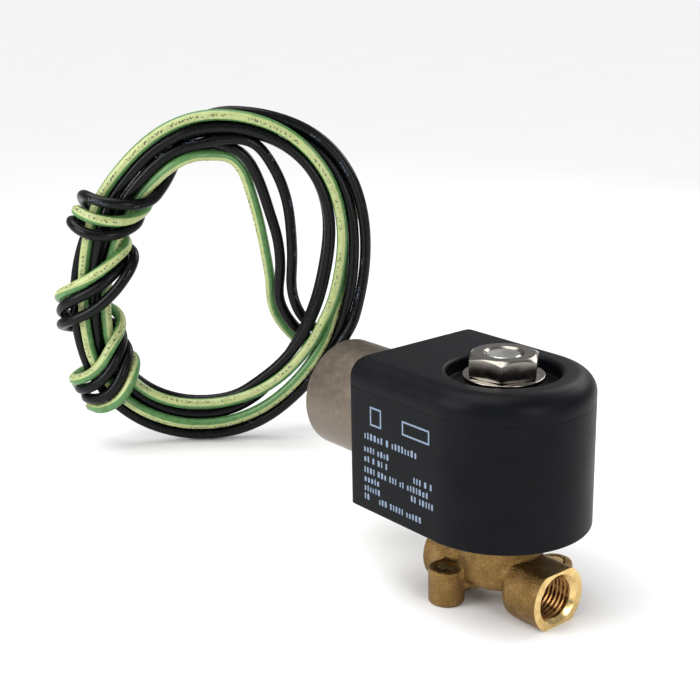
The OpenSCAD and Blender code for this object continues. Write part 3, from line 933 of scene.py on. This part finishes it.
def port_boss(side, radius):
    """The round boss of a port, flat above and below, with a soft shoulder at its back."""
    back = PORT_BOSS_BACK_X
    rows = [(radius - 1.6, back), (radius - 0.5, back + 0.4), (radius, back + 1.5), (radius, PORT_FACE_X + 1)]
    boss = solid_turned([(row[0], side * row[1]) for row in rows], "X", (0, 0, PORT_AXIS_Z))
    flats = solid_box((-PORT_FACE_X - 2, -12, -0.1), (PORT_FACE_X + 2, 12, PORT_TOP_Z + 0.1))
    boolean(boss, flats, "INTERSECT")
    return boss


def make_valve_body(forged, machined, tapped):
    """A forged skin over the barrel, ports, webs and lugs, with its holes and faces cut after."""
    rows = [
        (BARREL_R - 2, BARREL_BOTTOM_Z), (BARREL_R - 0.6, BARREL_BOTTOM_Z + 0.5),
        (BARREL_R + GROWTH, BARREL_BOTTOM_Z + 1.8), (BARREL_R + GROWTH, BARREL_TOP_Z + 1),
    ]
    body = solid_turned(rows)
    body.name = "valve_body_forging"
    for side in (-1, 1):
        boolean(body, port_boss(side, PORT_BOSS_R + GROWTH), "UNION")
    rib = solid_turned([(RIB_R, -RIB_END_X), (RIB_R, RIB_END_X)], "X", (0, 0, PORT_AXIS_Z))
    boolean(body, rib, "UNION")
    reach = sqrt(LUG_X ** 2 + LUG_Y ** 2)
    lean = np.arctan2(LUG_Y, LUG_X)
    web = solid_box((-reach, -WEB_W / 2, WEB_BOTTOM_Z), (reach, WEB_W / 2, WEB_TOP_Z), lean)
    boolean(body, web, "UNION")
    for side in (-1, 1):
        rows = [(LUG_R + GROWTH, -0.1), (LUG_R + GROWTH, LUG_H + 0.4)]
        lug = solid_turned(rows, centre=(side * LUG_X, side * LUG_Y, 0))
        boolean(body, lug, "UNION")
    forge(body, 0.4, 26)
    keep = solid_box((-PORT_FACE_X, -30, 0), (PORT_FACE_X, 30, BARREL_TOP_Z))
    boolean(body, keep, "INTERSECT")
    for side in (-1, 1):
        face = side * PORT_FACE_X
        inner = side * (PORT_FACE_X - PORT_BORE_DEPTH)
        bore_start = face - side * PORT_CHAMFER
        rows = [
            (PORT_MOUTH_R + 0.4, face + side * 0.4), (PORT_MOUTH_R, face),
            (PORT_MOUTH_R - 0.4, face - side * 0.3),
        ]
        rows += thread_rows(PORT_BORE_R, bore_start, inner, PORT_PITCH, 0.75)
        rows += [(3, inner - side * 0.1), (0.5, inner - side * 2)]
        boolean(body, solid_turned(rows, "X", (0, 0, PORT_AXIS_Z), 72, PORT_PITCH), "DIFFERENCE")
        lug = (side * LUG_X, side * LUG_Y, 0)
        rows = [(LUG_HOLE_R + 0.6, -0.4), (LUG_HOLE_R + 0.1, 0.4)]
        rows += thread_rows(LUG_HOLE_R, 0.5, LUG_H - 0.8, LUG_PITCH, 0.35)
        rows += [(LUG_HOLE_R + 0.1, LUG_H - 0.7), (LUG_HOLE_R + 1.2, LUG_H + 0.4)]
        boolean(body, solid_turned(rows, "Z", lug, 48, LUG_PITCH), "DIFFERENCE")
    socket = [(WELL_R, WELL_Z), (WELL_R, SOCKET_Z), (SOCKET_R, SOCKET_Z), (SOCKET_R, BARREL_TOP_Z + 1)]
    boolean(body, solid_turned(socket), "DIFFERENCE")
    for material in (forged, machined, tapped):
        body.data.materials.append(material)
    for face in body.data.polygons:
        face.material_index = finish_of(face)
    smooth(body, 35)
    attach(body, "valve")
    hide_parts("valve_body")


def finish_of(face):
    """Material of a face: 2 in the threads (brass with painted shade), 1 where a tool cut the body, 0 on the
    forged skin.
    """
    x, y, z = (c / MM for c in face.center)
    depth = PORT_FACE_X - abs(x)
    from_port = sqrt(y ** 2 + (z - PORT_AXIS_Z) ** 2)
    from_lug = min(sqrt((x - side * LUG_X) ** 2 + (y - side * LUG_Y) ** 2) for side in (-1, 1))
    in_bore = PORT_CHAMFER - 0.1 < depth < PORT_BORE_DEPTH + 2.5 and from_port < PORT_BORE_R + 0.85
    if in_bore or (from_lug < LUG_HOLE_R + 0.4 and z < LUG_H - 0.2):
        return 2
    on_face = abs(depth) < 0.02 and abs(face.normal.x) > 0.9
    in_mouth = depth < PORT_BORE_DEPTH + 2.5 and from_port < PORT_MOUTH_R + 0.4
    in_socket = sqrt(x * x + y * y) < SOCKET_R + 0.1 and z > WELL_Z - 0.1
    cut = on_face or in_mouth or in_socket or from_lug < LUG_HOLE_R + 0.85 or z > BARREL_TOP_Z - 0.02
    return 1 if cut else 0


# ---- case

CASE_HALF_W = 24.5
CASE_BACK = 34.5
CASE_BOTTOM_Z = 24.2
CASE_JOINT_Z = 59.3
CASE_TOP_Z = 66.6
CASE_WALL = 2.2
CASE_EDGE_R = 5.4
CASE_CORNER_R = 0.6
CASE_FOOT_R = 0.5
RECESS_FOOT_R = 0.6
RECESS_R = 15.3
RECESS_FLOOR_Z = 62.4
RECESS_LIP = 1.2
COVER_PLATE_Z = 60.2
TUBE_HOLE_R = 7.3
HUB_AXIS_Z = 44
HUB_SPIGOT_R = 10.5
SEAM = 0.06
SIDE_STEPS = 24
FRONT_STEPS = 96
BACK_STEPS = 24
CORNER_STEPS = 4


def case_outline(inset, back_inset):
    """The case's outline seen from above: a round front, straight sides and a flat back."""
    half = CASE_HALF_W - inset
    back = CASE_BACK - back_inset
    corner = CASE_CORNER_R
    turns = [-pi / 2 + pi * k / FRONT_STEPS for k in range(FRONT_STEPS + 1)]
    front = [(half * cos(angle), half * sin(angle)) for angle in turns]
    left = [(-(back - corner) * k / SIDE_STEPS, half) for k in range(1, SIDE_STEPS + 1)]
    for k in range(1, CORNER_STEPS + 1):
        angle = pi / 2 * k / CORNER_STEPS
        left.append((-(back - corner) - corner * sin(angle), half - corner + corner * cos(angle)))
    behind = [(-back, (half - corner) * (1 - 2 * k / BACK_STEPS)) for k in range(1, BACK_STEPS)]
    right = [(x, -y) for x, y in reversed(left)]
    return front + left + behind + right


def case_ring(row):
    """One ring of points of the case: a D outline, or a circle for a row that starts with round."""
    if row[0] == "round":
        points = []
        for x, y in case_outline(0, 0):
            reach = sqrt(x * x + y * y)
            points.append((row[1] * x / reach, row[1] * y / reach, row[2]))
        return points
    inset, back_inset, z = row
    return [(x, y, z) for x, y in case_outline(inset, back_inset)]


def case_shell(name, rows, material):
    rings = [case_ring(row) for row in rows]
    points = [p for ring in rings for p in ring]
    return add_piece(name, points, grid_faces(len(rings), len(rings[0])), material, None, 24)


def arc_rows(first, last, steps, shape):
    """Rows along an arc between two angles in degrees; shape gets 1 - sine and 1 - cosine."""
    angles = [radians(first + (last - first) * k / steps) for k in range(steps + 1)]
    return [shape(1 - sin(a), 1 - cos(a)) for a in angles]


def make_lower_case(material):
    bottom = CASE_BOTTOM_Z
    wall = CASE_WALL
    soft = CASE_FOOT_R
    rows = [("round", TUBE_HOLE_R, bottom)]
    rows += arc_rows(0, 90, 5, lambda s, c: (soft * s, soft * s, bottom + soft * c))
    rows += [(0, 0, bottom + soft + 0.2), (0, 0, CASE_JOINT_Z - 0.5)]
    rows += arc_rows(0, 90, 3, lambda s, c: (SEAM * c, SEAM * c, CASE_JOINT_Z - SEAM * s))
    rows += [(wall, wall, CASE_JOINT_Z), (wall, wall, bottom + wall), ("round", TUBE_HOLE_R, bottom + wall)]
    piece = case_shell("lower_case_shell", rows, material)
    hole = [(HUB_SPIGOT_R, -CASE_BACK - 2), (HUB_SPIGOT_R, -CASE_BACK + wall + 2)]
    boolean(piece, solid_turned(hole, "X", (0, 0, HUB_AXIS_Z)), "DIFFERENCE")
    smooth(piece, 24)
    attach(piece, "solenoid")
    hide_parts("lower_case")


def make_case_cover(material):
    def back_inset(s):
        return 0.5 * max(0, 1 - 3 * s) ** 2

    edge = CASE_EDGE_R
    foot = RECESS_FOOT_R
    wall = CASE_WALL + 0.1
    lip = RECESS_LIP
    rows = [(wall, wall, CASE_JOINT_Z)]
    rows += arc_rows(90, 0, 3, lambda s, c: (SEAM * c, SEAM * c, CASE_JOINT_Z + SEAM * s))
    rows += [(0, 0, CASE_TOP_Z - edge - 0.4)]
    rows += arc_rows(0, 90, 14, lambda s, c: (edge * c, back_inset(s), CASE_TOP_Z - edge * s))
    rows += [("round", RECESS_R + lip + 0.4, CASE_TOP_Z)]
    rows += arc_rows(90, 0, 6, lambda s, c: ("round", RECESS_R + lip * c, CASE_TOP_Z - lip * s))
    rows += arc_rows(0, 90, 4, lambda s, c: ("round", RECESS_R - foot * c, RECESS_FLOOR_Z + foot * s))
    rows += [("round", TUBE_HOLE_R, RECESS_FLOOR_Z), ("round", TUBE_HOLE_R, COVER_PLATE_Z)]
    rows += [(wall, wall, COVER_PLATE_Z)]
    piece = case_shell("case_cover_shell", rows, material)
    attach(piece, "solenoid")
    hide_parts("case_cover")


# ---- print on the case

PRINT_FACE_Y = -24.5
PRINT_PROUD = 0.03


def flat_shape(outlines):
    """Thin plates on the printed side, from outlines of (across, up) points in millimetres."""
    points = []
    faces = []
    for outline in outlines:
        first = len(points)
        count = len(outline)
        for proud in (PRINT_PROUD, -0.02):
            points += [(u, PRINT_FACE_Y - proud, CASE_BOTTOM_Z + v) for u, v in outline]
        faces.append(tuple(range(first, first + count)))
        faces.append(tuple(range(first + count, first + 2 * count)))
        for k in range(count):
            n = (k + 1) % count
            faces.append((first + k, first + n, first + count + n, first + count + k))
    return points, faces


def bar(left, low, width, height):
    """A small bar with rounded corners."""
    corners = [(left, low), (left + width, low), (left + width, low + height), (left, low + height)]
    return rounded(corners, min(width, height) * 0.3, 2)


def greeked_row(left, right, low, height, words):
    """A row of small plain dashes that stands for a row of print, and says nothing."""
    outlines = []
    place = left
    gap = height * 0.34
    for word in words:
        for _ in range(word):
            width = height * random.choice((0.28, 0.36, 0.46))
            if place + width > right:
                return outlines
            drop = height * random.choice((0, 0, 0.18))
            outlines.append(bar(place, low, width, height - drop))
            place += width + gap
        place += height * 0.45
    return outlines


def plain_frame(left, low, width, height, line):
    """A rectangle of four thin bars."""
    side = height - 2 * line
    return [
        bar(left, low, width, line), bar(left, low + height - line, width, line),
        bar(left, low + line, line, side), bar(left + width - line, low + line, line, side),
    ]


def make_print(material):
    """Two plain frames and rows of dashes, laid out like the print they stand for."""
    rows = []
    texts = [
        (21.2, 1.9, -28.4, -0.6, (6, 1, 8)),
        (17.4, 1.75, -28.6, -18, (4, 5)),
        (14.5, 1.75, -28.6, -18.5, (2, 1, 2, 3)),
        (14.0, 1.75, -8.5, -0.4, (3, 1, 2)),
        (11.3, 1.75, -28.6, -0.4, (4, 3, 3, 2, 7)),
        (8.6, 1.75, -28.6, -22, (5,)),
        (8.6, 1.75, -9.5, -0.4, (2, 6)),
        (5.9, 1.75, -28.6, -22, (6,)),
        (3.4, 1.75, -28.6, -25, (2,)),
        (3.4, 1.75, -22.5, -0.4, (3, 5, 5)),
    ]
    for low, height, left, right, words in texts:
        rows += greeked_row(left, right, low, height, words)
    marks = plain_frame(-26, 25.6, 4.6, 5.4, 0.5) + plain_frame(-13, 26.4, 10.6, 4, 0.5)
    points, faces = flat_shape(rows + marks)
    piece = add_piece("side_print", points, faces, material, "solenoid")


# ---- nut, washers, hub and small parts

NUT_Z = 65.5
NUT_H = 5.8
NUT_FLATS = 17.6
NUT_ANGLE = 10
STUD_R = 4.7
NUT_BORE_R = 4.78
STUD_TOP_Z = 71
STUD_CHAMFER = 0.6
CORE_R = 6.58
CORE_FACE_Z = 44.2
CORE_TOP_Z = 61.8
SPRING_SEAT_R = 3.1
SPRING_SEAT_Z = 46
GROOVE_INNER_R = 4.6
GROOVE_OUTER_R = 5.5
GROOVE_TOP_Z = 45.2
WASHER_BORE_R = 5.2
GASKET_TOP_Z = 63.4
LOCK_TOP_Z = 64.3
BONNET_R = 10.6
BONNET_TOP_Z = 22.9
BONNET_PLUG_R = 8.5
BONNET_BORE_R = 7.1
HUB_R = 16.4
HUB_MOUTH_X = -65.6
HUB_BORE_R = 9.2
HUB_BORE_DEPTH = 19.6
HUB_THROAT_R = 6.5
HUB_INNER_X = -30.2
HUB_PITCH = 1.81


def make_nut(material):
    """A hexagon nut chamfered at its top, with a countersunk tapped bore."""
    corner = NUT_FLATS / 2 / cos(pi / 6)
    top = NUT_Z + NUT_H
    nut = solid_turned([(corner, NUT_Z), (corner, top)], sides=6, turned=NUT_ANGLE / 60)
    nut.name = "top_nut"
    rise = (corner - NUT_FLATS / 2 + 0.5) * tan(radians(32))
    cone = [(NUT_FLATS / 2 - 0.1, NUT_Z - 0.01), (corner + 0.1, NUT_Z + 0.5), (corner + 0.1, top - rise),
            (NUT_FLATS / 2 - 0.5, top), (NUT_FLATS / 2 - 0.5, top + 0.1)]
    boolean(nut, solid_turned(cone, sides=192), "INTERSECT")
    bore = [(NUT_BORE_R, NUT_Z - 1), (NUT_BORE_R, top - 0.75), (5.5, top), (5.6, top + 0.1)]
    boolean(nut, solid_turned(bore), "DIFFERENCE")
    step = nut.modifiers.new("edges", "BEVEL")
    step.width = 0.16 * MM
    step.segments = 2
    step.limit_method = "ANGLE"
    step.angle_limit = radians(20)
    apply_modifiers(nut)
    smooth(nut, 60)
    flat = nut.modifiers.new("flat faces", "WEIGHTED_NORMAL")
    flat.keep_sharp = True
    apply_modifiers(nut)
    nut.data.materials.append(material)
    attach(nut, "nut")
    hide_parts("hex_nut")


def make_core(material):
    """The fixed core and its stud, whose top corner is chamfered."""
    rows = [
        (SPRING_SEAT_R, SPRING_SEAT_Z), (SPRING_SEAT_R, CORE_FACE_Z), (GROOVE_INNER_R, CORE_FACE_Z),
        (GROOVE_INNER_R, GROOVE_TOP_Z), (GROOVE_OUTER_R, GROOVE_TOP_Z), (GROOVE_OUTER_R, CORE_FACE_Z),
        (CORE_R, CORE_FACE_Z), (CORE_R, CORE_TOP_Z), (STUD_R, CORE_TOP_Z),
        (STUD_R, STUD_TOP_Z - STUD_CHAMFER), (STUD_R - STUD_CHAMFER, STUD_TOP_Z),
    ]
    core = solid_turned(rows, sides=128)
    core.name = "fixed_core_turned"
    core.data.materials.append(material)
    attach(core, "valve")
    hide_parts("fixed_core")


def washer(name, outer, low, high, edge, material, node):
    inner = WASHER_BORE_R
    section = rounded([(inner, low), (outer, low), (outer, high), (inner, high)], edge)
    piece = lathe(name, section, material, "solenoid")
    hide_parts(node)


def make_hub(material):
    """The round conduit hub, with chamfered ends and a tapped bore."""
    bore_end = HUB_MOUTH_X + HUB_BORE_DEPTH
    outer = [
        (HUB_THROAT_R, HUB_INNER_X), (HUB_SPIGOT_R, HUB_INNER_X), (HUB_SPIGOT_R, -CASE_BACK),
        (HUB_R, -CASE_BACK), (HUB_R, HUB_MOUTH_X), (HUB_BORE_R + 1.5, HUB_MOUTH_X),
    ]
    section = [(HUB_THROAT_R, HUB_INNER_X)] + rounded(outer, 0.55)[5:-5]
    section += [(HUB_BORE_R + 1.5, HUB_MOUTH_X), (HUB_BORE_R + 0.9, HUB_MOUTH_X + 1.0)]
    count = 150
    first = HUB_MOUTH_X + 1.2
    for i in range(count + 1):
        fade = min(1, (count - i) / 12, 0.4 + i / 12)
        section.append((HUB_BORE_R, first + (bore_end - 1.5 - first) * i / count, 0.9 * fade))
    section += [(HUB_BORE_R, bore_end), (HUB_THROAT_R, bore_end)]
    piece = lathe("hub_turned", section, material, "solenoid", "X", (0, 0, HUB_AXIS_Z), 128, HUB_PITCH)
    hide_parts("conduit_hub")


def dress_inner_nodes():
    """Gives every CAD node that stays as it is a material of its own kind."""
    steel = plain_metal("yoke_steel", (0.24, 0.24, 0.25), (0.42, 0.42, 0.43), 0.38, 3)
    wound = plain_metal("winding_copper", (0.45, 0.17, 0.07), (0.75, 0.36, 0.20), 0.3, 1.2)
    nickel = nickel_plate()
    rubber = plain_polymer("seal_rubber", (0.012, 0.012, 0.012), (0.03, 0.03, 0.03), 0.6, 3)
    looks = {
        stainless(): ("bonnet", "guide_tube", "plunger", "return_spring"),
        wound: ("shading_ring", "winding"),
        rubber: ("bonnet_o_ring", "seal_disc", "base_gasket", "lead_seal"),
        plain_polymer("potting_resin", (0.03, 0.032, 0.036), (0.06, 0.062, 0.066), 0.5, 6): ("potting",),
        plain_polymer("bobbin_plastic", (0.5, 0.46, 0.36), (0.62, 0.58, 0.48), 0.45, 5): ("bobbin",),
        steel: ("yoke_frame", "yoke_top_plate", "lower_flux_sleeve", "upper_flux_sleeve"),
        nickel: ("ground_lug", "ground_screw", "hub_lock_ring"),
        plain_metal("tinned_copper", (0.50, 0.48, 0.44), (0.72, 0.70, 0.66), 0.3, 1.5): ("splice_sleeves",),
        plain_polymer("stub_insulation", (0.01, 0.011, 0.012), (0.02, 0.021, 0.022), 0.35, 2):
            ("lead_stubs",),
    }
    for material, nodes in looks.items():
        for name in nodes:
            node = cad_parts[name]
            node.data.materials.clear()
            node.data.materials.append(material)


def make_bonnet(material):
    """The bonnet's flange, a hexagon with broken corners, over its round plug."""
    top = BONNET_TOP_Z
    flange = solid_turned([(BONNET_R, BARREL_TOP_Z), (BONNET_R, top)], sides=6)
    flange.name = "bonnet_flange"
    trim = [
        (9.3, BARREL_TOP_Z - 0.1), (10.5, BARREL_TOP_Z + 0.3), (10.5, top - 0.3), (10, top), (10, top + 0.1),
    ]
    boolean(flange, solid_turned(trim), "INTERSECT")
    plug = [(BONNET_PLUG_R, 17.4), (BONNET_PLUG_R, BARREL_TOP_Z + 0.2)]
    boolean(flange, solid_turned(plug), "UNION")
    boolean(flange, solid_turned([(BONNET_BORE_R, 16), (BONNET_BORE_R, 24)]), "DIFFERENCE")
    flange.data.materials.append(material)
    smooth(flange, 20)
    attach(flange, "valve")
    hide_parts("bonnet")


machined = machined_brass()
plastic = case_plastic()
nickel = nickel_plate()
rubber = plain_polymer("gasket_rubber", (0.010, 0.010, 0.011), (0.024, 0.024, 0.025), 0.62, 3, 0.05)
make_valve_body(forged_brass(), machined, thread_brass_painted_shade())
make_lower_case(plastic)
make_case_cover(plastic)
make_print(print_ink())
make_core(stainless())
make_nut(nickel)
washer("top_gasket_ring", 10, RECESS_FLOOR_Z, GASKET_TOP_Z, 0.3, rubber, "top_gasket")
washer("lock_washer_ring", 9.6, GASKET_TOP_Z, LOCK_TOP_Z, 0.2, nickel, "lock_washer")
washer("flat_washer_ring", 11, LOCK_TOP_Z, NUT_Z, 0.32, nickel, "flat_washer")
make_hub(satin_nickel())
dress_inner_nodes()
make_bonnet(stainless())


# ---- floor and light

FLOOR_REACH = 40.0
FLOOR_Z = -0.02


def make_floor():
    """A wide pale floor, with a very soft mottle."""
    edge = FLOOR_REACH / MM
    points = [(x * edge, y * edge, FLOOR_Z) for x, y in ((-1, -1), (1, -1), (1, 1), (-1, 1))]
    s = Shader("floor_paper", (0.92, 0.92, 0.92), 0.9)
    s.tones(s.noise(70, 1), (0.3, 0.915), (0.7, 0.925))
    floor_piece = add_piece("floor", points, [(0, 1, 2, 3)], s.material, None)


def add_light(name, place, target, size, power):
    """A soft square light that faces a target; places are in millimetres."""
    data = bpy.data.lights.new(name, "AREA")
    data.shape = "RECTANGLE"
    data.size, data.size_y = size[0] * MM, size[1] * MM
    data.energy = power
    light = put(name, data)
    light.location = Vector(place) * MM
    light.rotation_euler = (Vector(target) - Vector(place)).to_track_quat("-Z", "Y").to_euler()


def make_lights():
    """A wide soft sun over a dim pale room, and three soft boxes for the highlights."""
    world = bpy.data.worlds.new("room")
    world.use_nodes = True
    world.node_tree.nodes["Background"].inputs["Color"].default_value = (1, 1, 1, 1)
    world.node_tree.nodes["Background"].inputs["Strength"].default_value = 0.35
    bpy.context.scene.world = world
    bpy.context.scene.view_settings.view_transform = "Standard"
    sun_data = bpy.data.lights.new("sky", "SUN")
    sun_data.energy = 2.2
    sun_data.angle = radians(50)
    sun = put("sky", sun_data)
    sun.rotation_euler = Vector((0.25, 0.2, -1)).to_track_quat("-Z", "Y").to_euler()
    middle = (-20, 0, 40)
    add_light("left", (-160, -380, 240), middle, (240, 240), 1.2)
    add_light("right", (420, -60, 200), middle, (160, 260), 0.8)
    add_light("behind", (-60, 420, 320), middle, (400, 200), 1.0)


make_floor()
make_lights()
